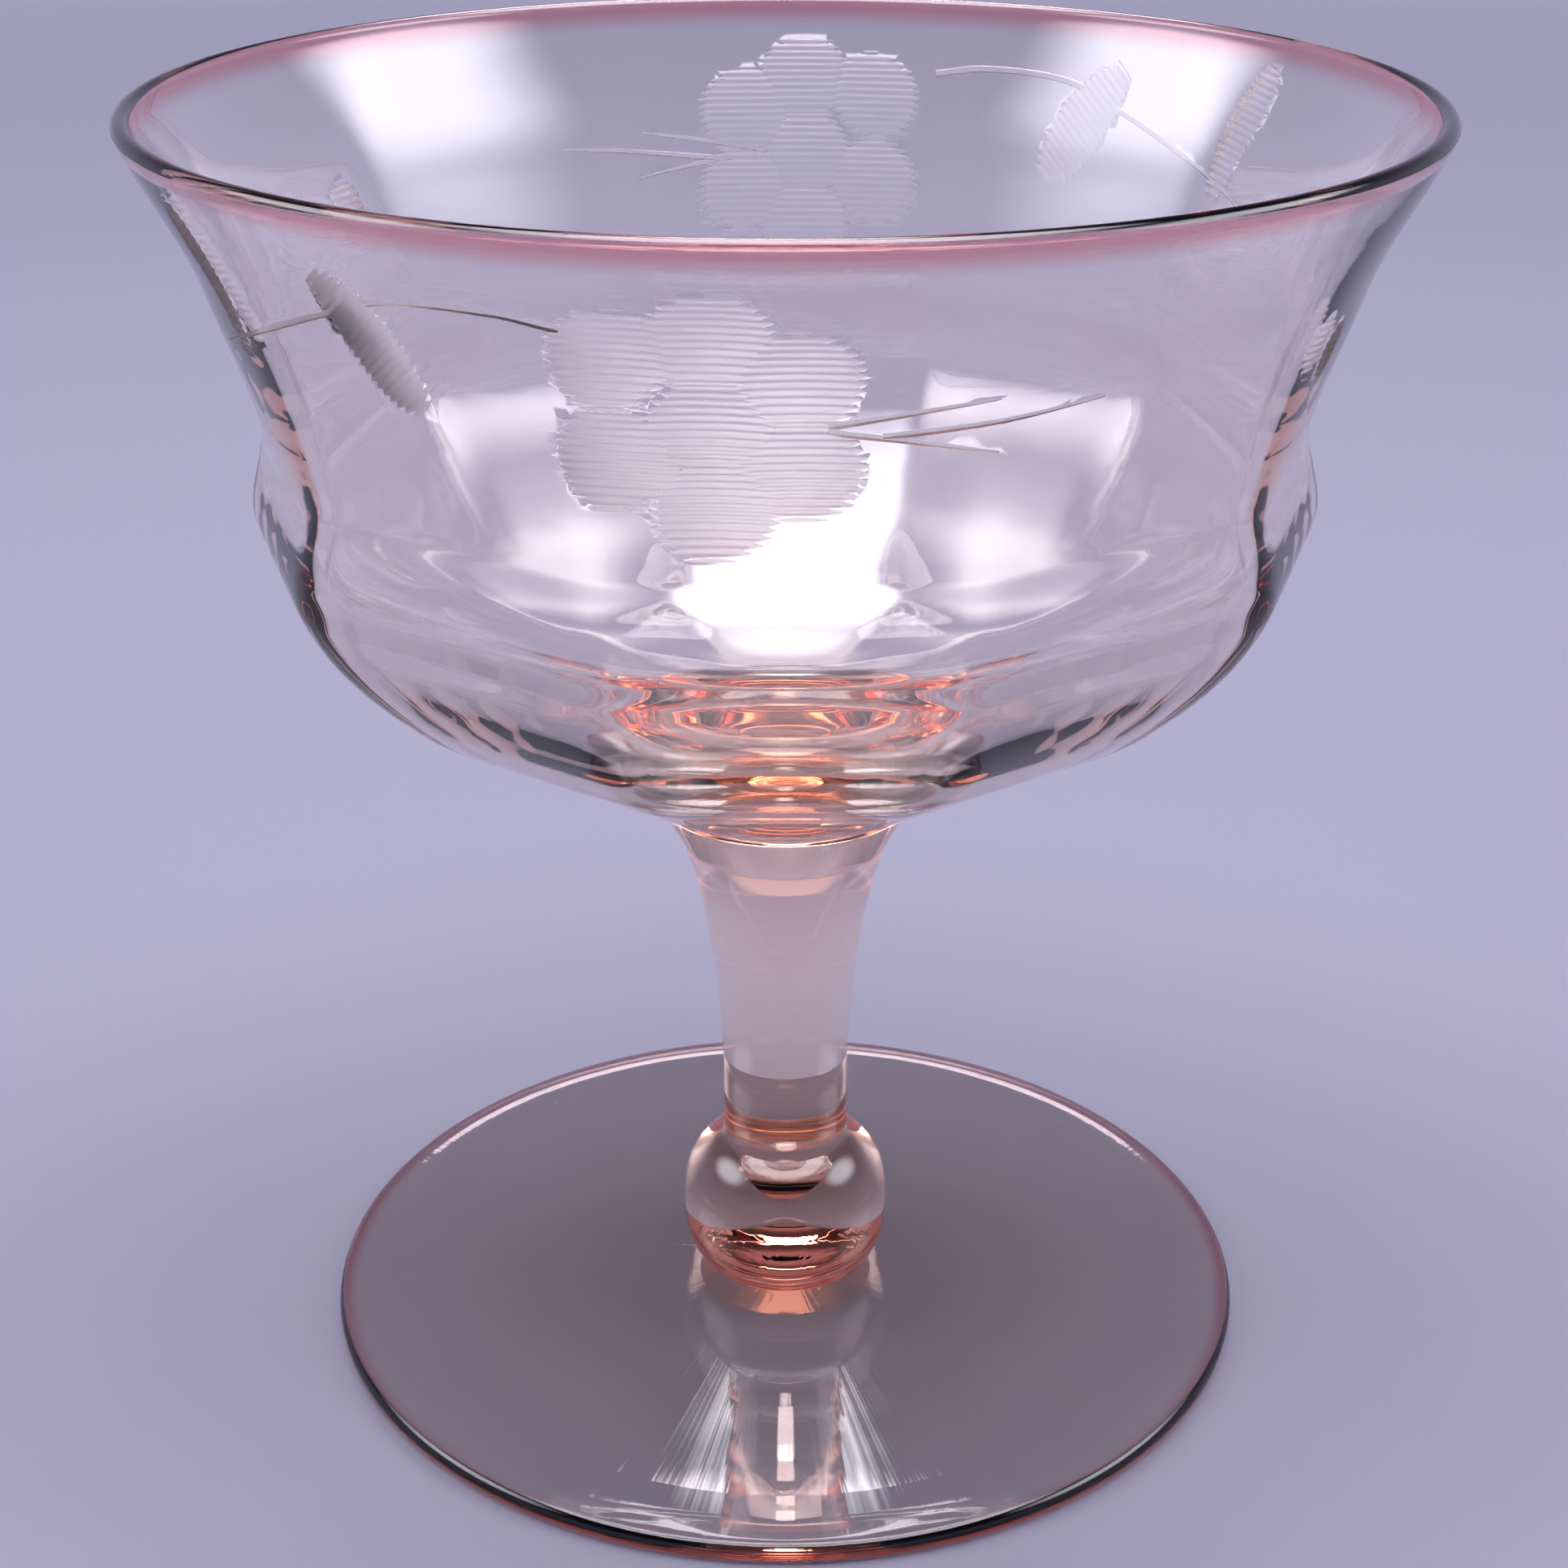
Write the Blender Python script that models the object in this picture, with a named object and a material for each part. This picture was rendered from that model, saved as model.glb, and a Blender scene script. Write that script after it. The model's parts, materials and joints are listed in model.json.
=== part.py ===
"""A saucer champagne glass in pale pink glass, the low footed kind that also serves as a sherbet glass.

It is four pieces of glass fused end to end: a flat round foot, a bead-shaped knop with a short neck,
a tapered stem, and a ten-panelled bowl drawn down into a short shank. Each piece is its own object.

Metres, +Z up. The origin is the middle of the foot's underside, and one panel of the bowl faces -Y.
"""

import math

import bmesh
import bpy

SEAM = 0.0003  # gap between two fused pieces

# Foot
FOOT_RADIUS = 0.0384
FOOT_EDGE = 0.0016  # thickness at the rounded edge
FOOT_RISE = 0.0013  # extra thickness in the middle
FOOT_RING = 0.0060  # width of the flat ring that the glass stands on
FOOT_HOLLOW = 0.0004  # how far the underside rises inside that ring
FOOT_EASE = 0.0211  # radius at which the top flattens out towards the edge
FOOT_EASE_RISE = 0.00055  # rise that is left there

# Knop and its neck
KNOP_RADIUS = 0.0086
KNOP_HEIGHT = 0.0117  # from the foot to where the neck starts
KNOP_BULGE = 2.7  # 2 is an ellipse, and more is squarer
KNOP_MIDDLE = 0.0047  # from the foot to where the bead is widest
KNOP_HALF = 0.00725  # half the height of the whole bead, before the foot and the neck cut it off
NECK_RADIUS = 0.0052
NECK_LENGTH = 0.0070

# Stem
STEM_LENGTH = 0.0196
STEM_TOP_RADIUS = 0.0083
STEM_BOTTOM_SLOPE = 0.06  # radius gained for each unit of height
STEM_TOP_SLOPE = 0.33

# Bowl: heights are above the top of the stem
SHANK_HEIGHT = 0.0041
SHANK_RADIUS = 0.0105  # where the underside of the bowl springs from the shank
SHANK_EASE = (0.0009, 0.0025)  # out from the stem and up to the point that rounds the shank
FLANK_HEIGHT = 0.0107
FLANK_RADIUS = 0.0220
SHOULDER_HEIGHT = 0.0168
SHOULDER_RADIUS = 0.0326
BELLY_HEIGHT = 0.0270
BELLY_RADIUS = 0.0409
WAIST_HEIGHT = 0.0350
WAIST_RADIUS = 0.0400
FLARE_HEIGHT = 0.0478
FLARE_RADIUS = 0.0432
BOWL_HEIGHT = 0.0593
RIM_RADIUS = 0.0476
BASE_THICKNESS = 0.0034
FLANK_WALL = 0.0030
SHOULDER_WALL = 0.0028
BODY_WALL = 0.0025
FLARE_WALL = 0.0018
LIP_WALL = 0.0014
PANELS = 10
PANEL_TOP_FLATNESS = 0.35  # how flat the panels still are at the flare; 1 is flat, 0 is round

SIDES = 6 * PANELS  # sides of every turned piece
CURVE_STEPS = 3  # points on each stretch of the bowl's outline
KNOP_STEPS = 12
STEM_STEPS = 8
EDGE_STEPS = 6  # points round the edge of the foot and round the lip
EDGE_START = 80.0  # degrees from level at which the edge of the foot leaves its top
HOLLOW_HALFWAY = 0.75  # share of the hollow reached halfway in from the ring
SHARP_EDGE = 50.0  # degrees between two faces from which their edge shows
SAME_POINT = 1e-6

# Glass: the colour of a thin wall, and what the thickest piece takes off it
THIN_COLOR = (0.93, 0.72, 0.74)
DEPTH_COLOR = (0.15, 0.30, 0.26)
POLISH = 0.04  # roughness
REFRACTION = 1.52


def pink_glass(name, depth):
    """Clear pink glass; depth darkens it where the piece is thick."""
    material = bpy.data.materials.new(name)
    material.use_nodes = True
    shader = material.node_tree.nodes["Principled BSDF"]
    color = (*(thin - depth * taken for thin, taken in zip(THIN_COLOR, DEPTH_COLOR)), 1.0)
    shader.inputs["Base Color"].default_value = color
    shader.inputs["Metallic"].default_value = 0.0
    shader.inputs["Roughness"].default_value = POLISH
    shader.inputs["IOR"].default_value = REFRACTION
    shader.inputs["Transmission Weight"].default_value = 1.0
    material.diffuse_color = color
    return material


def turned(name, outline, material):
    """The outline, (radius, height) points from the axis at the top to the axis below, turned about Z."""
    bm = bmesh.new()
    points = [bm.verts.new((radius, 0.0, height)) for radius, height in outline]
    edges = [bm.edges.new(pair) for pair in zip(points, points[1:])]
    bmesh.ops.spin(
        bm,
        geom=points + edges,
        cent=(0.0, 0.0, 0.0),
        axis=(0.0, 0.0, 1.0),
        angle=2.0 * math.pi,
        steps=SIDES,
        use_duplicate=False,
    )
    bmesh.ops.remove_doubles(bm, verts=bm.verts, dist=SAME_POINT)
    bmesh.ops.recalc_face_normals(bm, faces=bm.faces)
    mesh = bpy.data.meshes.new(name)
    bm.to_mesh(mesh)
    bm.free()
    mesh.shade_smooth()
    mesh.set_sharp_from_angle(angle=math.radians(SHARP_EDGE))
    mesh.materials.append(material)
    piece = bpy.data.objects.new(name, mesh)
    bpy.context.scene.collection.objects.link(piece)
    return piece


def arc(center, radius, start, end, steps):
    """Points on an arc in the outline's plane, with angles in degrees from +radius towards +height."""
    turns = [math.radians(start + (end - start) * i / steps) for i in range(steps + 1)]
    return [(center[0] + radius * math.cos(a), center[1] + radius * math.sin(a)) for a in turns]


def smooth_curve(points, before, after, steps):
    """A smooth curve through the points; before and after are the points that steer its two ends."""
    steered = [before, *points, after]
    curve = [points[0]]
    for p, a, b, n in zip(steered, steered[1:], steered[2:], steered[3:]):
        span = math.dist(a, b)
        leave = [span * (b[k] - p[k]) / math.dist(p, b) for k in range(2)]
        arrive = [span * (n[k] - a[k]) / math.dist(a, n) for k in range(2)]
        for i in range(1, steps + 1):
            t = i / steps
            curve.append(
                tuple(
                    (2 * t**3 - 3 * t**2 + 1) * a[k]
                    + (t**3 - 2 * t**2 + t) * leave[k]
                    + (3 * t**2 - 2 * t**3) * b[k]
                    + (t**3 - t**2) * arrive[k]
                    for k in range(2)
                )
            )
    return curve


def make_foot(material):
    """A disc with a rounded edge, thicker in the middle, standing on a flat ring."""
    half = FOOT_EDGE / 2
    edge = arc((FOOT_RADIUS - half, half), half, EDGE_START, -90.0, EDGE_STEPS)
    ring_inside = FOOT_RADIUS - half - FOOT_RING
    outline = [
        (0.0, FOOT_EDGE + FOOT_RISE),
        (FOOT_EASE, FOOT_EDGE + FOOT_EASE_RISE),
        *edge,
        (ring_inside, 0.0),
        (ring_inside / 2, HOLLOW_HALFWAY * FOOT_HOLLOW),
        (0.0, FOOT_HOLLOW),
    ]
    return turned("foot", outline, material)


def make_knop(bottom, material):
    """A squarish bead cut flat where it meets the foot, with the neck that joins it to the stem."""
    center = bottom + KNOP_MIDDLE

    def bead_radius(height):
        rise = abs(height - center) / KNOP_HALF
        return KNOP_RADIUS * max(1.0 - rise**KNOP_BULGE, 0.0) ** (1.0 / KNOP_BULGE)

    neck_start = bottom + KNOP_HEIGHT
    top = neck_start + NECK_LENGTH
    outline = [(0.0, top), (NECK_RADIUS, top), (NECK_RADIUS, neck_start)]
    for i in range(1, KNOP_STEPS + 1):
        # The points crowd towards the shoulder, where the bead turns fastest.
        height = neck_start - KNOP_HEIGHT * (1.0 - math.cos(math.pi * i / (2 * KNOP_STEPS)))
        if bead_radius(height) > NECK_RADIUS:
            outline.append((bead_radius(height), height))
    outline.append((0.0, bottom))
    return turned("knop", outline, material), top


def make_stem(bottom, material):
    """A solid taper that widens towards the bowl and meets the neck below at its radius."""
    top = bottom + STEM_LENGTH
    outline = [(0.0, top)]
    for i in range(STEM_STEPS + 1):
        t = 1.0 - i / STEM_STEPS
        radius = (
            (2 * t**3 - 3 * t**2 + 1) * NECK_RADIUS
            + (t**3 - 2 * t**2 + t) * STEM_LENGTH * STEM_BOTTOM_SLOPE
            + (3 * t**2 - 2 * t**3) * STEM_TOP_RADIUS
            + (t**3 - t**2) * STEM_LENGTH * STEM_TOP_SLOPE
        )
        outline.append((radius, bottom + STEM_LENGTH * t))
    outline.append((0.0, bottom))
    return turned("stem", outline, material), top


def inside_of(outer, walls):
    """The outer points, each moved in by its wall, square to the outline."""
    inner = []
    for i in range(1, len(outer) - 1):
        run = outer[i + 1][0] - outer[i - 1][0]
        rise = outer[i + 1][1] - outer[i - 1][1]
        length = math.hypot(run, rise)
        radius, height = outer[i]
        inner.append((radius - walls[i] * rise / length, height + walls[i] * run / length))
    return inner


def make_bowl(bottom, material):
    """A ten-panelled bowl: a rounded underside, a belly, a waist and a flared round rim."""
    lip = LIP_WALL / 2
    rim_height = bottom + BOWL_HEIGHT - lip
    shank = (SHANK_RADIUS, bottom + SHANK_HEIGHT)
    outer_keys = [
        shank,
        (FLANK_RADIUS, bottom + FLANK_HEIGHT),
        (SHOULDER_RADIUS, bottom + SHOULDER_HEIGHT),
        (BELLY_RADIUS, bottom + BELLY_HEIGHT),
        (WAIST_RADIUS, bottom + WAIST_HEIGHT),
        (FLARE_RADIUS, bottom + FLARE_HEIGHT),
        (RIM_RADIUS, rim_height),
    ]
    walls = [BASE_THICKNESS, FLANK_WALL, SHOULDER_WALL, BODY_WALL, BODY_WALL, FLARE_WALL, LIP_WALL]
    inner_keys = inside_of(outer_keys, walls)
    floor = (0.0, shank[1] + BASE_THICKNESS)
    inner_rim = (RIM_RADIUS - LIP_WALL, rim_height)
    inner = smooth_curve(
        [floor, *inner_keys, inner_rim],
        (-inner_keys[0][0], inner_keys[0][1]),
        (2 * inner_rim[0] - inner_keys[-1][0], 2 * rim_height - inner_keys[-1][1]),
        CURVE_STEPS,
    )
    outer = smooth_curve(
        outer_keys,
        (2 * SHANK_RADIUS - FLANK_RADIUS, 2 * shank[1] - outer_keys[1][1]),
        (2 * RIM_RADIUS - FLARE_RADIUS, 2 * rim_height - outer_keys[-2][1]),
        CURVE_STEPS,
    )
    lip_arc = arc((RIM_RADIUS - lip, rim_height), lip, 180.0, 0.0, EDGE_STEPS)[1:-1]
    shank_points = [
        (STEM_TOP_RADIUS, bottom),
        (STEM_TOP_RADIUS + SHANK_EASE[0], bottom + SHANK_EASE[1]),
    ]
    outline = inner + lip_arc + outer[::-1] + shank_points[::-1] + [(0.0, bottom)]
    bowl = turned("bowl", outline, material)
    flatten_panels(bowl.data, bottom)
    return bowl


def smooth_step(low, high, value):
    t = min(max((value - low) / (high - low), 0.0), 1.0)
    return t * t * (3.0 - 2.0 * t)


def flatten_panels(mesh, bottom):
    """Draws each side of the bowl in to a flat panel, full on the belly and gone at the round rim."""
    half_turn = math.pi / PANELS
    belly, flare = bottom + BELLY_HEIGHT, bottom + FLARE_HEIGHT
    for vertex in mesh.vertices:
        x, y, z = vertex.co
        radius = math.hypot(x, y)
        flatness = smooth_step(SHANK_RADIUS, FLANK_RADIUS, radius)
        flatness *= 1.0 - (1.0 - PANEL_TOP_FLATNESS) * smooth_step(belly, flare, z)
        flatness *= 1.0 - smooth_step(flare, bottom + BOWL_HEIGHT - LIP_WALL, z)
        from_middle = (math.atan2(x, -y) + half_turn) % (2 * half_turn) - half_turn
        flat = math.cos(half_turn) / math.cos(from_middle)
        scale = 1.0 - flatness * (1.0 - flat)
        vertex.co = (x * scale, y * scale, z)


for old in list(bpy.data.objects):
    bpy.data.objects.remove(old, do_unlink=True)

make_foot(pink_glass("foot_glass", 0.3))
knop, knop_top = make_knop(FOOT_EDGE + FOOT_RISE + SEAM, pink_glass("knop_glass", 0.8))
stem, stem_top = make_stem(knop_top + SEAM, pink_glass("stem_glass", 0.6))
make_bowl(stem_top + SEAM, pink_glass("bowl_glass", 0.0))
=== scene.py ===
import json
import math

import bpy
from mathutils import Matrix, Vector

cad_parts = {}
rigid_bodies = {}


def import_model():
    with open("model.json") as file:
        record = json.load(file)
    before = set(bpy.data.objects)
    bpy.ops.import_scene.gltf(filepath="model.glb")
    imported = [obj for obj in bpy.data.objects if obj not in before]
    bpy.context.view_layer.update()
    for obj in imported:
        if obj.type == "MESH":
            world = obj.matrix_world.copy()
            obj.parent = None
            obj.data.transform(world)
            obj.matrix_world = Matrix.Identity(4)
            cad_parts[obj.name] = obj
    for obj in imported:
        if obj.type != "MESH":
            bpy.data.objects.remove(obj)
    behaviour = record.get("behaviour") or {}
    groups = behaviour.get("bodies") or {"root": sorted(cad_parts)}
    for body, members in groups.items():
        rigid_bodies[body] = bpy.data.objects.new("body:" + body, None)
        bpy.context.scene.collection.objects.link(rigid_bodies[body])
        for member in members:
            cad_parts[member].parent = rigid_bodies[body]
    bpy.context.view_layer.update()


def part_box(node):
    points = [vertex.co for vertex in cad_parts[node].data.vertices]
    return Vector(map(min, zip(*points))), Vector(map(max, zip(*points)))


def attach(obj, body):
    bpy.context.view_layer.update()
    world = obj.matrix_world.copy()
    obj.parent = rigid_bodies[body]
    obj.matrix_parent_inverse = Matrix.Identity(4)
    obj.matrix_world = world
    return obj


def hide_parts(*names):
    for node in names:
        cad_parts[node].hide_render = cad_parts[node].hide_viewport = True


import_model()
bpy.ops.object.select_all(action="DESELECT")

# ---------------------------------------------------------------------------------------------
# The room. A plain pale floor that runs away on every side, soft cool light from overhead, from
# both sides and from a lamp behind, and a dim room around it for the glass to mirror.
# ---------------------------------------------------------------------------------------------
rim_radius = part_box("bowl")[1].x
# the camera, in rim radii from the middle of the foot, looking down at the glass
camera_distance = 4.177 * rim_radius
camera_height = 2.858 * rim_radius
camera_pitch = math.radians(24.22)

camera_data = bpy.data.cameras.new("camera")
camera_data.sensor_width = 36.0
camera_data.lens = 62.28
camera_data.clip_start = 0.01
camera = bpy.data.objects.new("camera", camera_data)
bpy.context.scene.collection.objects.link(camera)
camera.location = (-0.0001, -camera_distance, camera_height)
camera.rotation_euler = (math.pi / 2 - camera_pitch, 0.0, 0.0)
bpy.context.scene.camera = camera

floor_size = 12.0
below_foot = 0.00005
bpy.ops.mesh.primitive_plane_add(size=floor_size, location=(0.0, 0.0, -below_foot))
floor = bpy.context.object
floor.name = "floor"
floor_paint = bpy.data.materials.new("floor_paint")
floor_paint.use_nodes = True
paint = floor_paint.node_tree.nodes["Principled BSDF"]
paint.inputs["Base Color"].default_value = (0.160, 0.156, 0.205, 1.0)
paint.inputs["Roughness"].default_value = 0.7
paint.inputs["Specular IOR Level"].default_value = 0.2
floor.data.materials.append(floor_paint)

# The floor's far parts, which the lights don't reach, are kept as pale as the room's lower wall.
room_colour = (0.60, 0.57, 0.82, 1.0)
room_glow = 0.75
ground_plan = floor_paint.node_tree.nodes.new("ShaderNodeTexCoord")
distance = floor_paint.node_tree.nodes.new("ShaderNodeVectorMath")
distance.operation = "LENGTH"
far_off = floor_paint.node_tree.nodes.new("ShaderNodeMapRange")
far_off.interpolation_type = "SMOOTHSTEP"
far_off.inputs["From Min"].default_value = 0.40
far_off.inputs["From Max"].default_value = 1.60
far_off.inputs["To Min"].default_value = 0.0
far_off.inputs["To Max"].default_value = room_glow
paint.inputs["Emission Color"].default_value = room_colour
floor_paint.node_tree.links.new(ground_plan.outputs["Object"], distance.inputs[0])
floor_paint.node_tree.links.new(distance.outputs["Value"], far_off.inputs["Value"])
floor_paint.node_tree.links.new(far_off.outputs["Result"], paint.inputs["Emission Strength"])

world = bpy.data.worlds.new("room")
world.use_nodes = True
sky, sky_links = world.node_tree.nodes, world.node_tree.links
sky_way = sky.new("ShaderNodeTexCoord")
sky_height = sky.new("ShaderNodeSeparateXYZ")
sky_shade = sky.new("ShaderNodeMapRange")
sky_shade.interpolation_type = "SMOOTHSTEP"
sky_shade.inputs["From Min"].default_value = 0.15
sky_shade.inputs["From Max"].default_value = 0.60
sky_shade.inputs["To Min"].default_value = room_glow
sky_shade.inputs["To Max"].default_value = 0.12
sky_links.new(sky_way.outputs["Generated"], sky_height.inputs["Vector"])
sky_links.new(sky_height.outputs["Z"], sky_shade.inputs["Value"])
sky_links.new(sky_shade.outputs["Result"], sky["Background"].inputs["Strength"])
sky["Background"].inputs["Color"].default_value = room_colour
bpy.context.scene.world = world


def soft_light(name, place, aim, width, height, radiance, color, edge):
    """A soft box, as bright as radiance in its middle and fading over the outer edge of it."""
    light = bpy.data.lights.new(name, "AREA")
    light.shape = "RECTANGLE"
    light.size = width
    light.size_y = height
    light.energy = radiance * math.pi * width * height
    light.color = color
    light.use_nodes = True
    nodes, links = light.node_tree.nodes, light.node_tree.links
    place_on_light = nodes.new("ShaderNodeNewGeometry")
    from_middle = nodes.new("ShaderNodeVectorMath")
    from_middle.operation = "DISTANCE"
    from_middle.inputs[1].default_value = (0.5, 0.5, 0.0)
    fade = nodes.new("ShaderNodeMapRange")
    fade.interpolation_type = "SMOOTHSTEP"
    fade.inputs["From Min"].default_value = 0.5 * (1.0 - edge)
    fade.inputs["From Max"].default_value = 0.5
    fade.inputs["To Min"].default_value = 1.0
    fade.inputs["To Max"].default_value = 0.0
    links.new(place_on_light.outputs["Parametric"], from_middle.inputs[0])
    links.new(from_middle.outputs["Value"], fade.inputs["Value"])
    links.new(fade.outputs["Result"], nodes["Emission"].inputs["Strength"])
    lamp = bpy.data.objects.new(name, light)
    bpy.context.scene.collection.objects.link(lamp)
    lamp.location = place
    lamp.rotation_euler = (Vector(aim) - Vector(place)).to_track_quat("-Z", "Y").to_euler()


glass_middle = (0.0, 0.0, 0.06)
cool_white = (0.93, 0.92, 1.0)
soft_light("ceiling", (0.0, 0.05, 1.0), (0.0, 0.05, 0.0), 1.3, 1.1, 10.0, cool_white, 0.4)
soft_light("left_side", (-0.75, 0.0, 0.60), glass_middle, 1.0, 0.7, 8.0, cool_white, 0.7)
soft_light("right_side", (0.75, 0.0, 0.60), glass_middle, 1.0, 0.7, 8.0, cool_white, 0.7)
soft_light("rear_lamp", (0.0, 0.72, 0.80), glass_middle, 0.26, 0.26, 16.0, cool_white, 0.3)

scene = bpy.context.scene
scene.view_settings.view_transform = "Standard"
scene.cycles.max_bounces = 28
scene.cycles.transmission_bounces = 28
scene.cycles.glossy_bounces = 12
scene.cycles.transparent_max_bounces = 32

# ---------------------------------------------------------------------------------------------
# Foot. A flat disc of pink glass, spread while soft, with a rounded edge and a slightly thicker
# middle. It stands on a flat ring, and the knop is fused to a small pad in the middle of its top.
# ---------------------------------------------------------------------------------------------
SEAM = 0.00001  # what is left of the gap between two fused pieces
foot_radius, _, foot_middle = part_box("foot")[1]
foot_edge = 0.0016
pad_radius = 0.0072
ring_inside = foot_radius - foot_edge / 2 - 0.006
foot_hollow = 0.0004
DOME_STEPS = 24
DOME_CURVE = 1.6  # how much sooner the top drops near the pad than near the edge
halfway_drop = 0.98 * (foot_middle - 0.00215)
ON_PLANE = 1e-6  # a face this near a seam's plane lies in it
SMOOTH_BELOW = math.radians(40.0)  # edges flatter than this are shaded as one surface


def pink_glass(name, streaks=0.0):
    """Clear glass that takes up blue and green, so that it turns salmon where it is thick."""
    material = bpy.data.materials.new(name)
    material.use_nodes = True
    nodes, links = material.node_tree.nodes, material.node_tree.links
    shader = nodes["Principled BSDF"]
    shader.inputs["Base Color"].default_value = (1.0, 1.0, 1.0, 1.0)
    shader.inputs["Roughness"].default_value = 0.0
    shader.inputs["IOR"].default_value = 1.52
    shader.inputs["Transmission Weight"].default_value = 1.0
    depth_colour = nodes.new("ShaderNodeVolumeAbsorption")
    depth_colour.inputs["Color"].default_value = (0.9375, 0.40, 0.10, 1.0)
    depth_colour.inputs["Density"].default_value = 34.0
    links.new(depth_colour.outputs["Volume"], nodes["Material Output"].inputs["Volume"])
    # Slow waves in the surface, as fire polishing leaves, and streaks drawn out from the middle.
    place = nodes.new("ShaderNodeTexCoord")
    stretched = nodes.new("ShaderNodeMapping")
    stretched.inputs["Scale"].default_value = (70.0, 70.0, 190.0)
    waves = nodes.new("ShaderNodeTexNoise")
    waves.inputs["Scale"].default_value = 1.0
    waves.inputs["Detail"].default_value = 2.0
    waves.inputs["Roughness"].default_value = 0.4
    hand_made = nodes.new("ShaderNodeBump")
    hand_made.inputs["Strength"].default_value = 1.0
    hand_made.inputs["Distance"].default_value = 0.00003
    links.new(place.outputs["Object"], stretched.inputs["Vector"])
    links.new(stretched.outputs["Vector"], waves.inputs["Vector"])
    level = nodes.new("ShaderNodeMapping")
    level.inputs["Scale"].default_value = (1.0, 1.0, 0.0)
    heading = nodes.new("ShaderNodeVectorMath")
    heading.operation = "NORMALIZE"
    rays = nodes.new("ShaderNodeTexNoise")
    rays.inputs["Scale"].default_value = 7.0
    rays.inputs["Detail"].default_value = 4.0
    rays.inputs["Roughness"].default_value = 0.6
    unevenness = nodes.new("ShaderNodeMath")
    unevenness.operation = "MULTIPLY_ADD"
    unevenness.inputs[1].default_value = streaks
    links.new(place.outputs["Object"], level.inputs["Vector"])
    links.new(level.outputs["Vector"], heading.inputs[0])
    links.new(heading.outputs["Vector"], rays.inputs["Vector"])
    links.new(rays.outputs["Fac"], unevenness.inputs[0])
    links.new(waves.outputs["Fac"], unevenness.inputs[2])
    links.new(unevenness.outputs["Value"], hand_made.inputs["Height"])
    links.new(hand_made.outputs["Normal"], shader.inputs["Normal"])
    seam = nodes.new("ShaderNodeAttribute")
    seam.attribute_name = "fused"
    clear = nodes.new("ShaderNodeMath")
    clear.operation = "SUBTRACT"
    clear.inputs[0].default_value = 1.0
    links.new(seam.outputs["Fac"], clear.inputs[1])
    links.new(clear.outputs["Value"], shader.inputs["Alpha"])
    return material


def painted_edge_glow(material, way, start, end):
    """Painted edge glow: a pinker tint for the light that gathers along a finished edge, from start
    to end along a way.
    """
    nodes, links = material.node_tree.nodes, material.node_tree.links
    place = nodes.new("ShaderNodeTexCoord")
    one_way = nodes.new("ShaderNodeMapping")
    one_way.inputs["Scale"].default_value = way
    across = nodes.new("ShaderNodeVectorMath")
    across.operation = "LENGTH"
    near_edge = nodes.new("ShaderNodeMapRange")
    near_edge.inputs["From Min"].default_value = start
    near_edge.inputs["From Max"].default_value = end
    # The painted glow of gathered light: clear glass away from the edge, pink at it.
    edge_glow_tint = nodes.new("ShaderNodeMix")
    edge_glow_tint.data_type = "RGBA"
    edge_glow_tint.inputs["A"].default_value = (1.0, 1.0, 1.0, 1.0)
    edge_glow_tint.inputs["B"].default_value = (0.93, 0.50, 0.52, 1.0)
    links.new(place.outputs["Object"], one_way.inputs["Vector"])
    links.new(one_way.outputs["Vector"], across.inputs[0])
    links.new(across.outputs["Value"], near_edge.inputs["Value"])
    links.new(near_edge.outputs["Result"], edge_glow_tint.inputs["Factor"])
    links.new(edge_glow_tint.outputs["Result"], nodes["Principled BSDF"].inputs["Base Color"])


def turn(name, outline, sides):
    """Spins an outline of (radius, height) points, from the axis to the axis, about the stem."""
    bpy.ops.curve.primitive_bezier_curve_add(location=(0.0, 0.0, 0.0))
    piece = bpy.context.object
    piece.name = piece.data.name = name
    piece.data.splines.clear()
    line = piece.data.splines.new("POLY")
    line.points.add(len(outline) - 1)
    for point, (radius, height) in zip(line.points, outline):
        point.co = (radius, 0.0, height, 1.0)
    bpy.ops.object.convert(target="MESH")
    bpy.ops.object.mode_set(mode="EDIT")
    bpy.ops.mesh.select_all(action="SELECT")
    bpy.ops.mesh.spin(
        steps=sides, angle=2.0 * math.pi, center=(0.0, 0.0, 0.0), axis=(0.0, 0.0, 1.0)
    )
    bpy.ops.mesh.select_all(action="SELECT")
    bpy.ops.mesh.remove_doubles(threshold=1e-7)
    bpy.ops.mesh.normals_make_consistent(inside=False)
    bpy.ops.object.mode_set(mode="OBJECT")
    bpy.ops.object.shade_smooth_by_angle(angle=SMOOTH_BELOW)
    return piece


def arc(center, radius, start, end, steps):
    """Points on an arc of an outline, with angles in degrees from outwards towards upwards."""
    turns = [math.radians(start + (end - start) * i / steps) for i in range(steps + 1)]
    return [(center[0] + radius * math.cos(a), center[1] + radius * math.sin(a)) for a in turns]


def spread(start, end, steps):
    """Evenly spaced points from start to end, without start itself."""
    return [
        tuple(s + (e - s) * i / steps for s, e in zip(start, end)) for i in range(1, steps + 1)
    ]


def mark_fused(piece, is_fused):
    """Marks the faces where this piece runs into its neighbour with no surface between them."""
    layer = piece.data.attributes.new("fused", "FLOAT", "FACE")
    for face in piece.data.polygons:
        layer.data[face.index].value = 1.0 if is_fused(face) else 0.0


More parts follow.
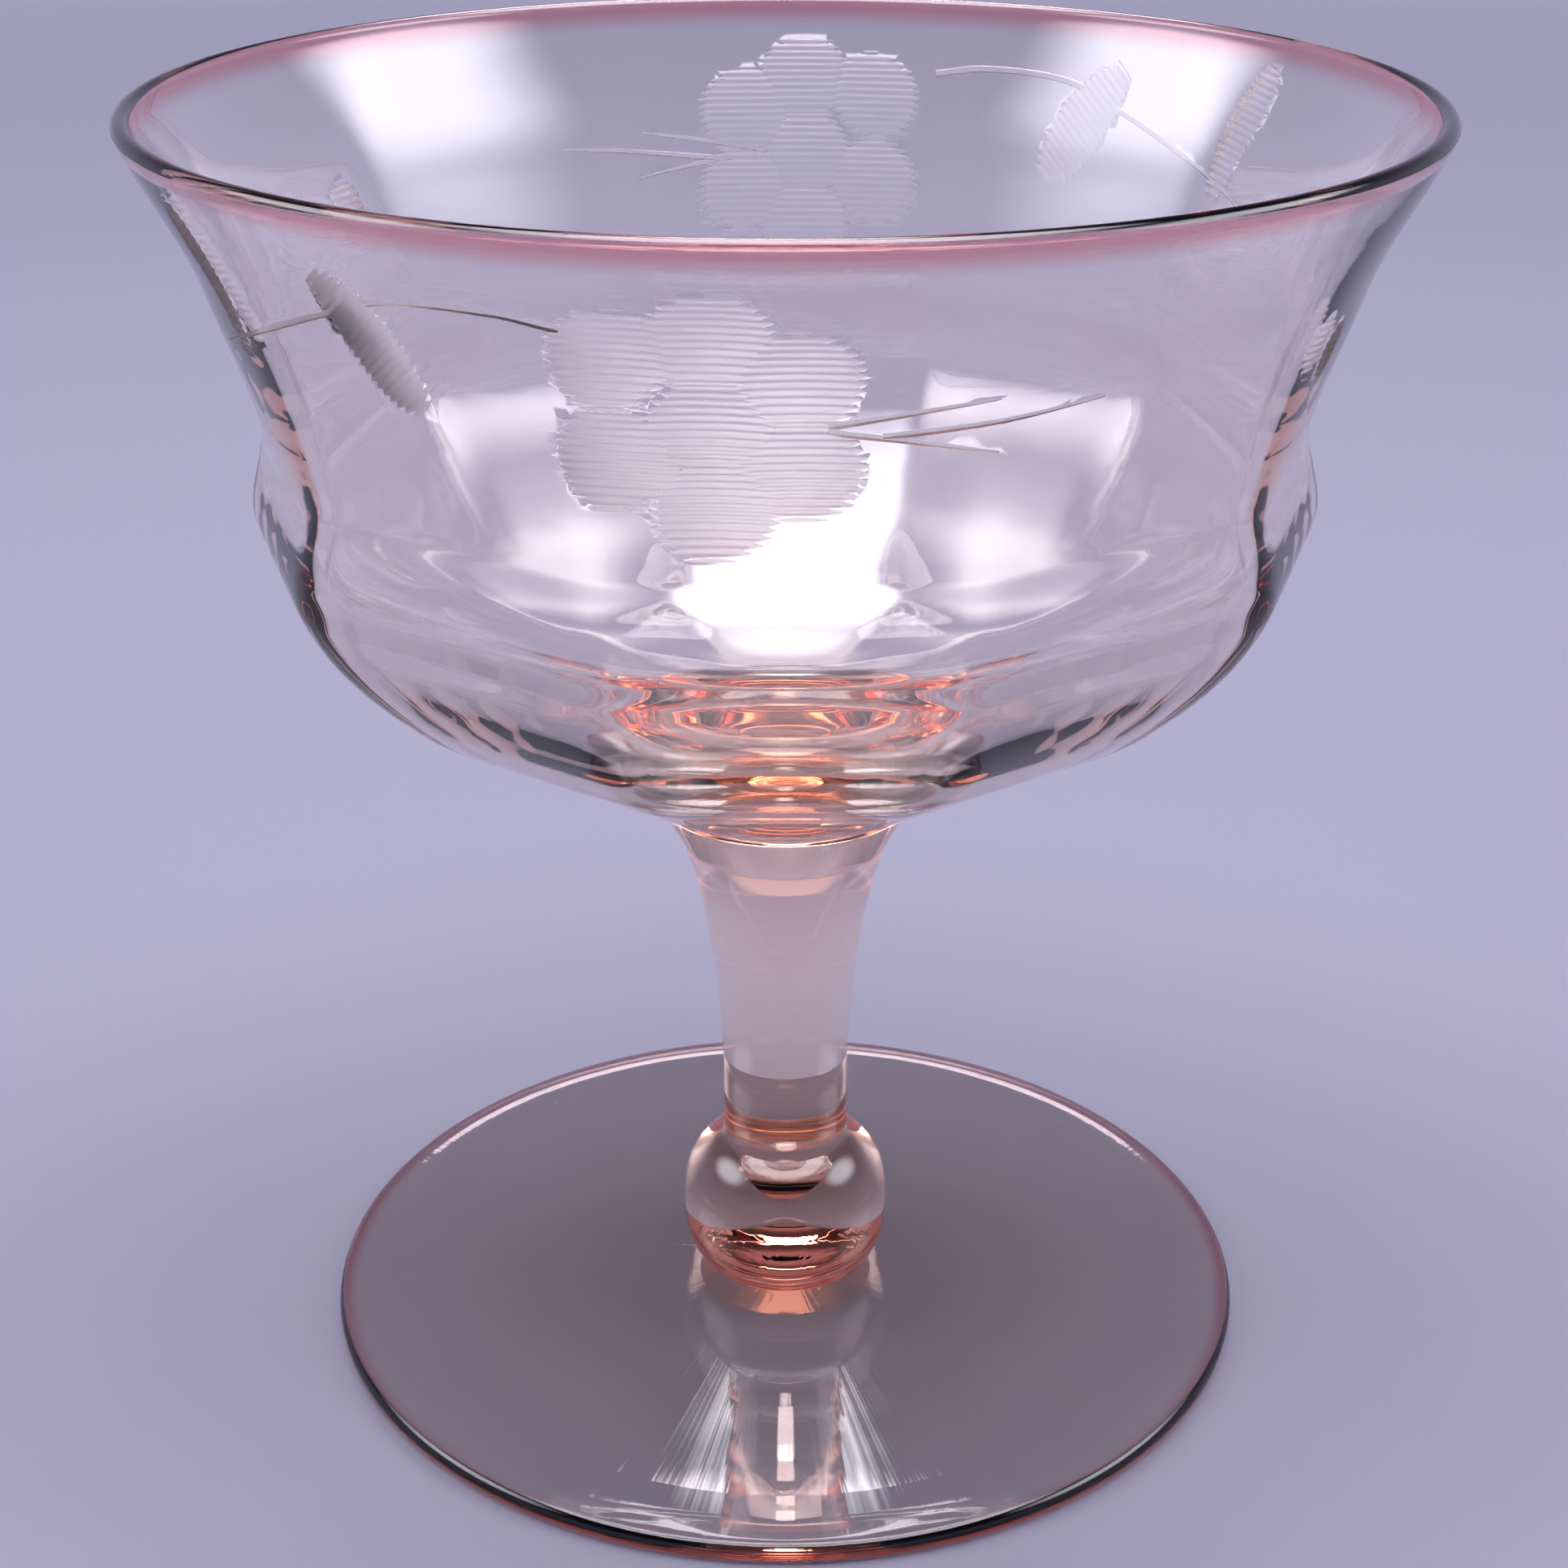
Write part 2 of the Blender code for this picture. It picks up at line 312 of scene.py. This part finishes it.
half_edge = foot_edge / 2
foot_outline = [(0.0, foot_middle), (pad_radius * 0.5, foot_middle), (pad_radius, foot_middle)]
for i in range(1, DOME_STEPS):
    t = i / DOME_STEPS
    out = pad_radius + (foot_radius - half_edge - pad_radius) * t
    sag = halfway_drop * (1.0 - (1.0 - t) ** DOME_CURVE) / (1.0 - 0.5**DOME_CURVE)
    foot_outline.append((out, max(foot_middle - sag, foot_edge)))
foot_outline += arc((foot_radius - half_edge, half_edge), half_edge, 84.0, -90.0, 14)
foot_outline += spread((foot_radius - half_edge, 0.0), (ring_inside, 0.0), 4)
for i in range(1, 19):
    out = math.cos(math.pi / 2 * i / 18)
    foot_outline.append((ring_inside * out, foot_hollow * (1.0 - out * out)))
foot_outline[-1] = (0.0, foot_hollow)
foot = turn("foot_disc", foot_outline, 240)
mark_fused(foot, lambda face: face.center.z > foot_middle - ON_PLANE)
foot_glass = pink_glass("foot_glass", streaks=0.7)
# A painted glow of gathered light, pinker over the last millimetres of the foot's edge.
painted_edge_glow(foot_glass, (1.0, 1.0, 0.0), foot_radius - 0.0016, foot_radius - 0.0002)
foot.data.materials.append(foot_glass)
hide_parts("foot")
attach(foot, "root")

# ---------------------------------------------------------------------------------------------
# Knop. A squarish bead of solid pink glass pressed down on the foot while soft, and drawn up into
# a short straight neck that the stem is fused to.
# ---------------------------------------------------------------------------------------------
bead_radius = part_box("knop")[1].x
knop_bottom = foot_middle + SEAM
knop_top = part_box("stem")[0].z
neck_radius = 0.0052
neck_start = 0.0149
bead_middle = 0.0079
bead_half = 0.0073
bead_bulge = 2.7

knop_outline = [(0.0, knop_top - SEAM), (neck_radius * 0.5, knop_top - SEAM)]
knop_outline += spread((neck_radius, knop_top - SEAM), (neck_radius, neck_start), 8)
knop_outline.insert(2, (neck_radius, knop_top - SEAM))
for i in range(1, 33):
    height = neck_start - (neck_start - knop_bottom) * (1.0 - math.cos(math.pi / 2 * i / 32))
    rise = abs(height - bead_middle) / bead_half
    radius = bead_radius * max(1.0 - rise**bead_bulge, 0.0) ** (1.0 / bead_bulge)
    if radius > neck_radius:
        knop_outline.append((radius, height))
knop_outline.append((pad_radius, knop_bottom))
knop_outline.append((pad_radius * 0.5, knop_bottom))
knop_outline.append((0.0, knop_bottom))
knop = turn("bead_knop", knop_outline, 160)
mark_fused(
    knop,
    lambda face: not knop_bottom + ON_PLANE <= face.center.z <= knop_top - SEAM - ON_PLANE,
)
knop.data.materials.append(pink_glass("knop_glass"))
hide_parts("knop")
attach(knop, "root")

# ---------------------------------------------------------------------------------------------
# Stem. A solid taper of pink glass, drawn out by hand. It widens smoothly from the neck below to
# the shank of the bowl above, and is fused to both.
# ---------------------------------------------------------------------------------------------


def ease_through(t, start, leave, end, arrive):
    """A share t of the way from start to end, leaving and arriving at these slopes."""
    return (
        (2 * t**3 - 3 * t**2 + 1) * start
        + (t**3 - 2 * t**2 + t) * leave
        + (3 * t**2 - 2 * t**3) * end
        + (t**3 - t**2) * arrive
    )


stem_bottom = knop_top
stem_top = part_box("bowl")[0].z
stem_length = stem_top - stem_bottom
shank_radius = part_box("stem")[1].x
neck_slope = 0.06
shank_slope = 0.33
stem_outline = [(0.0, stem_top - SEAM), (shank_radius * 0.5, stem_top - SEAM)]
for i in range(33):
    t = 1.0 - i / 32
    radius = ease_through(
        t, neck_radius, stem_length * neck_slope, shank_radius, stem_length * shank_slope
    )
    stem_outline.append((radius, stem_bottom + (stem_length - SEAM) * t))
stem_outline.append((neck_radius * 0.5, stem_bottom))
stem_outline.append((0.0, stem_bottom))
stem = turn("stem_shaft", stem_outline, 160)
mark_fused(
    stem,
    lambda face: not stem_bottom + ON_PLANE <= face.center.z <= stem_top - SEAM - ON_PLANE,
)
stem.data.materials.append(pink_glass("stem_glass"))
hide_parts("stem")
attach(stem, "root")

# ---------------------------------------------------------------------------------------------
# Bowl. Blown with ten flat panels: a rounded underside on a short shank, a belly, a waist and a
# round flared rim with a fire-polished lip. The glass is thick below and thins to the lip.
# ---------------------------------------------------------------------------------------------
PANELS = 10
lip = 0.0007
rim_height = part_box("bowl")[1].z - lip
# outside of the bowl, springing to rim: radius, height, wall square to the surface
bowl_form = [
    (0.0105, 0.0462, 0.0034),
    (0.0220, 0.0528, 0.0030),
    (0.0326, 0.0589, 0.0028),
    (0.0409, 0.0691, 0.0025),
    (0.0400, 0.0771, 0.0025),
    (0.0432, 0.0899, 0.0018),
    (rim_radius, rim_height, 0.0014),
]


def smooth_curve(points, before, after, steps):
    """A smooth curve through the points; before and after steer its two ends."""
    steered = [before, *points, after]
    curve = [points[0]]
    for p, a, b, n in zip(steered, steered[1:], steered[2:], steered[3:]):
        span = math.dist(a, b)
        leave = [span * (b[k] - p[k]) / math.dist(p, b) for k in range(2)]
        arrive = [span * (n[k] - a[k]) / math.dist(a, n) for k in range(2)]
        for i in range(1, steps + 1):
            t = i / steps
            curve.append(
                tuple(ease_through(t, a[k], leave[k], b[k], arrive[k]) for k in range(2))
            )
    return curve


def mirrored(end, neighbour):
    return (2 * end[0] - neighbour[0], 2 * end[1] - neighbour[1])


outer_keys = [(r, z) for r, z, wall in bowl_form]
inner_keys = []
for i in range(1, len(bowl_form) - 1):
    run = outer_keys[i + 1][0] - outer_keys[i - 1][0]
    rise = outer_keys[i + 1][1] - outer_keys[i - 1][1]
    length = math.hypot(run, rise)
    r, z, wall = bowl_form[i]
    inner_keys.append((r - wall * rise / length, z + wall * run / length))
inner_keys.insert(0, (0.0, outer_keys[0][1] + bowl_form[0][2]))
inner_keys.append((rim_radius - 2 * lip, rim_height))
outer_curve = smooth_curve(
    outer_keys,
    mirrored(outer_keys[0], outer_keys[1]),
    mirrored(outer_keys[-1], outer_keys[-2]),
    14,
)
inner_curve = smooth_curve(
    inner_keys,
    (-inner_keys[1][0], inner_keys[1][1]),
    mirrored(inner_keys[-1], inner_keys[-2]),
    12,
)
bowl_outline = inner_curve + arc((rim_radius - lip, rim_height), lip, 180.0, 0.0, 12)[1:-1]
bowl_outline += outer_curve[::-1]
shank_start = (shank_radius, stem_top)
bowl_outline += spread(outer_curve[0], shank_start, 8)
bowl_outline += [(shank_radius * 0.5, stem_top), (0.0, stem_top)]
bowl = turn("panelled_bowl", bowl_outline, 300)


def smooth_step(low, high, value):
    t = min(max((value - low) / (high - low), 0.0), 1.0)
    return t * t * (3.0 - 2.0 * t)


CORNER_SHARPNESS = 70.0  # higher makes the corners between panels tighter
FLARE_FLATNESS = 0.35


def panel_scale(radius, angle, height):
    """How far a panel draws the round bowl in, at an angle from the middle of a panel."""
    half = math.pi / PANELS
    flatness = smooth_step(outer_keys[0][0], outer_keys[1][0], radius)
    belly, flare = outer_keys[3][1], outer_keys[5][1]
    flatness *= 1.0 - (1.0 - FLARE_FLATNESS) * smooth_step(belly, flare, height)
    flatness *= 1.0 - smooth_step(flare, rim_height, height)
    local = (angle + half) % (2 * half) - half
    faces = math.cos(local) ** CORNER_SHARPNESS
    faces += math.cos(2 * half - abs(local)) ** CORNER_SHARPNESS
    drawn_in = math.cos(half) / faces ** (1.0 / CORNER_SHARPNESS)
    return 1.0 - flatness * (1.0 - drawn_in)


for vertex in bowl.data.vertices:
    x, y, z = vertex.co
    scale = panel_scale(math.hypot(x, y), math.atan2(x, -y), z)
    vertex.co = (x * scale, y * scale, z)


def outside_radius(height):
    """Radius of the bowl outside, before its panels, at a height."""
    for (r0, z0), (r1, z1) in zip(outer_curve, outer_curve[1:]):
        if z0 <= height <= z1:
            return r0 + (r1 - r0) * (height - z0) / (z1 - z0)
    return rim_radius


def on_bowl(angle, height):
    """The point outside the bowl at this angle from the front, in degrees, and height."""
    turn_by = math.radians(angle)
    radius = outside_radius(height)
    radius *= panel_scale(radius, turn_by, height)
    return Vector((radius * math.sin(turn_by), -radius * math.cos(turn_by), height))


def wall_frame(angle, height):
    """Place and axes on the wall: along it, up it and outwards, averaged over a few millimetres."""
    reach_round, reach_up = 3.0, 0.0025
    along = on_bowl(angle + reach_round, height) - on_bowl(angle - reach_round, height)
    up = on_bowl(angle, height + reach_up) - on_bowl(angle, height - reach_up)
    along.normalize()
    out = along.cross(up).normalized()
    up = out.cross(along)
    return on_bowl(angle, height), along, up, out


# ---------------------------------------------------------------------------------------------
# Grey cutting. Flowers, leaves and stalks ground into the outside of the bowl on small ribbed
# stone wheels and left matt, the same spray on the front and on the back.
# ---------------------------------------------------------------------------------------------
RIB_PITCH = 0.00058
RIB_DEPTH = 0.00005
ABOVE_WALL = 0.0010
PETAL_SIZE = (0.0077, 0.0073)
STALK_WIDTH = 0.00080
SPRIG_WIDTH = 0.00065
GROUND_ROUGHNESS = 0.5
cuts = bpy.data.collections.new("cuts")
bpy.context.scene.collection.children.link(cuts)


def into_cuts(cutter):
    for group in list(cutter.users_collection):
        group.objects.unlink(cutter)
    cuts.objects.link(cutter)


def wheel_cut(name, angle, height, along_ribs, across_ribs, tilt, depth):
    """One touch of a ribbed wheel: along_ribs by across_ribs in size, its ribs turned by tilt."""
    place, along, up, out = wall_frame(angle, height)
    turned_by = Matrix.Rotation(math.radians(tilt), 3, out)
    along, up = turned_by @ along, turned_by @ up
    ribs = round(1.15 * across_ribs / RIB_PITCH / 2)
    bpy.ops.mesh.primitive_grid_add(x_subdivisions=12, y_subdivisions=8 * ribs, size=2.0)
    cutter = bpy.context.object
    cutter.name = name
    half_along = 0.5 * along_ribs
    half_across = 0.5 * across_ribs
    reach_along = 1.25 * half_along
    reach_across = ribs * RIB_PITCH
    for vertex in cutter.data.vertices:
        x, y = vertex.co.x * reach_along, vertex.co.y * reach_across
        rib = RIB_DEPTH * math.cos(2.0 * math.pi * y / RIB_PITCH)
        bulge = curve_across(x, half_along, along, place, out)
        bulge += curve_across(y, half_across, up, place, out)
        lift = depth * ((x / half_along) ** 2 + (y / half_across) ** 2 - 1.0) + rib
        vertex.co = place + along * x + up * y + out * (lift + bulge)
    bpy.ops.object.mode_set(mode="EDIT")
    bpy.ops.mesh.select_all(action="SELECT")
    bpy.ops.mesh.extrude_region_move(TRANSFORM_OT_translate={"value": out * ABOVE_WALL})
    bpy.ops.mesh.select_all(action="SELECT")
    bpy.ops.mesh.normals_make_consistent(inside=False)
    bpy.ops.object.mode_set(mode="OBJECT")
    into_cuts(cutter)


def curve_across(offset, half, direction, place, out):
    """How far the wall has fallen away from its tangent plane this far along a direction."""
    end = place + direction * half
    angle = math.degrees(math.atan2(end.x, -end.y))
    other = place - direction * half
    other_angle = math.degrees(math.atan2(other.x, -other.y))
    drop = (on_bowl(angle, end.z) - place).dot(out)
    drop += (on_bowl(other_angle, other.z) - place).dot(out)
    return 0.5 * drop * (offset / half) ** 2


def line_cut(name, points, width):
    """A stalk ground with a thin wheel along points of (angle, height, width share)."""
    bpy.ops.curve.primitive_bezier_curve_add(location=(0.0, 0.0, 0.0))
    cutter = bpy.context.object
    cutter.name = name
    cutter.data.splines.clear()
    cutter.data.dimensions = "3D"
    cutter.data.bevel_depth = 0.6 * width
    cutter.data.bevel_resolution = 1
    cutter.data.use_fill_caps = True
    line = cutter.data.splines.new("POLY")
    line.points.add(len(points) - 1)
    for point, (angle, height, share) in zip(line.points, points):
        place, along, up, out = wall_frame(angle, height)
        point.co = (*(place + out * 0.33 * width), 1.0)
        point.radius = share
    bpy.ops.object.convert(target="MESH")
    into_cuts(cutter)


def flowing_line(keys, steps):
    """Points on a smooth curve through keys of (angle, height), thinner towards the last."""
    curve = smooth_curve(keys, mirrored(keys[0], keys[1]), mirrored(keys[-1], keys[-2]), steps)
    last = len(curve) - 1
    return [(a, z, 1.0 - 0.35 * i / last) for i, (a, z) in enumerate(curve)]


def rims(share):
    return share * rim_radius


# Angles are in degrees round the bowl, and heights in rim radii.
FLOWER = [
    # angle and height from the middle of the flower, depth of the cut
    (-8.2, -0.047, 0.00026),
    (7.6, -0.058, 0.00026),
    (0.2, -0.120, 0.00028),
    (-7.7, 0.099, 0.00027),
    (7.3, 0.072, 0.00027),
    (0.4, 0.128, 0.00030),
    (0.0, 0.0, 0.00033),
]
LEAVES = [
    # angle and height, size along and across the ribs, tilt of the ribs, depth of the cut
    ("leaf", -36.3, 1.945, 0.0050, 0.0104, 38.0, 0.00032),
    ("slim_leaf", -57.8, 1.985, 0.0036, 0.0108, 8.0, 0.00030),
    ("bud", 59.3, 1.851, 0.0034, 0.0042, 0.0, 0.00022),
]
STALK = [
    (-17.2, 1.999),
    (-22.8, 2.012),
    (-33.0, 2.004),
    (-41.5, 1.961),
    (-52.0, 1.905),
    (-64.5, 1.846),
]
SPRIGS = [
    [(3.5, 1.868), (10.0, 1.884), (17.4, 1.901)],
    [(8.0, 1.852), (17.0, 1.866), (27.4, 1.884)],
    [(3.5, 1.860), (10.0, 1.845), (18.0, 1.823)],
]
FLOWER_HEIGHT = 1.862
# the side, how far round its spray starts, and where its flower stands from there
for side, start, flower_at in (("front", 0.0, -6.3), ("back", 180.0, -2.6)):
    for i, (d_angle, d_height, depth) in enumerate(FLOWER):
        height = rims(FLOWER_HEIGHT) + rims(d_height)
        wheel_cut(
            f"{side}_petal_{i}", start + flower_at + d_angle, height, *PETAL_SIZE, 0.0, depth
        )
    stalk = [(start + angle, rims(share)) for angle, share in STALK]
    line_cut(f"{side}_stalk", flowing_line(stalk, 8), STALK_WIDTH)
    for name, angle, share, along_ribs, across_ribs, tilt, depth in LEAVES:
        wheel_cut(
            f"{side}_{name}", start + angle, rims(share), along_ribs, across_ribs, tilt, depth
        )
    for i, sprig in enumerate(SPRIGS):
        line = [(start + angle, rims(share)) for angle, share in sprig]
        line_cut(f"{side}_sprig_{i}", flowing_line(line, 5), SPRIG_WIDTH)

# The faces that the wheels make keep the second slot's number through the grinding.
for shape in (bowl, *cuts.objects):
    shape.data.materials.append(None)
    shape.data.materials.append(None)
for cutter in cuts.objects:
    for face in cutter.data.polygons:
        face.material_index = 1
grinding = bowl.modifiers.new("grinding", "BOOLEAN")
grinding.operation = "DIFFERENCE"
grinding.operand_type = "COLLECTION"
grinding.collection = cuts
grinding.solver = "EXACT"
bpy.ops.object.select_all(action="DESELECT")
bpy.context.view_layer.objects.active = bowl
bowl.select_set(True)
bpy.ops.object.modifier_apply(modifier="grinding")
ground = bowl.data.attributes.new("ground", "FLOAT", "FACE")
for face in bowl.data.polygons:
    face.select = face.material_index == 1
    ground.data[face.index].value = float(face.select)
bpy.ops.object.mode_set(mode="EDIT")
bpy.ops.mesh.region_to_loop()
bpy.ops.mesh.mark_sharp()
bpy.ops.mesh.select_all(action="DESELECT")
bpy.ops.object.mode_set(mode="OBJECT")
bowl.data.materials.clear()
for cutter in list(cuts.objects):
    bpy.data.objects.remove(cutter)
bpy.data.collections.remove(cuts)
bpy.ops.object.shade_smooth_by_angle(angle=SMOOTH_BELOW)
mark_fused(bowl, lambda face: face.center.z < stem_top + ON_PLANE)
bowl_glass = pink_glass("bowl_glass")
# A painted glow of gathered light, pinker just below the lip.
painted_edge_glow(bowl_glass, (0.0, 0.0, 1.0), rim_height - 0.0018, rim_height - 0.0004)
nodes, links = bowl_glass.node_tree.nodes, bowl_glass.node_tree.links
ground_part = nodes.new("ShaderNodeAttribute")
ground_part.attribute_name = "ground"
matt = nodes.new("ShaderNodeMath")
matt.operation = "MULTIPLY"
matt.inputs[1].default_value = GROUND_ROUGHNESS
links.new(ground_part.outputs["Fac"], matt.inputs[0])
links.new(matt.outputs["Value"], nodes["Principled BSDF"].inputs["Roughness"])
bowl.data.materials.append(bowl_glass)
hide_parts("bowl")
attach(bowl, "root")
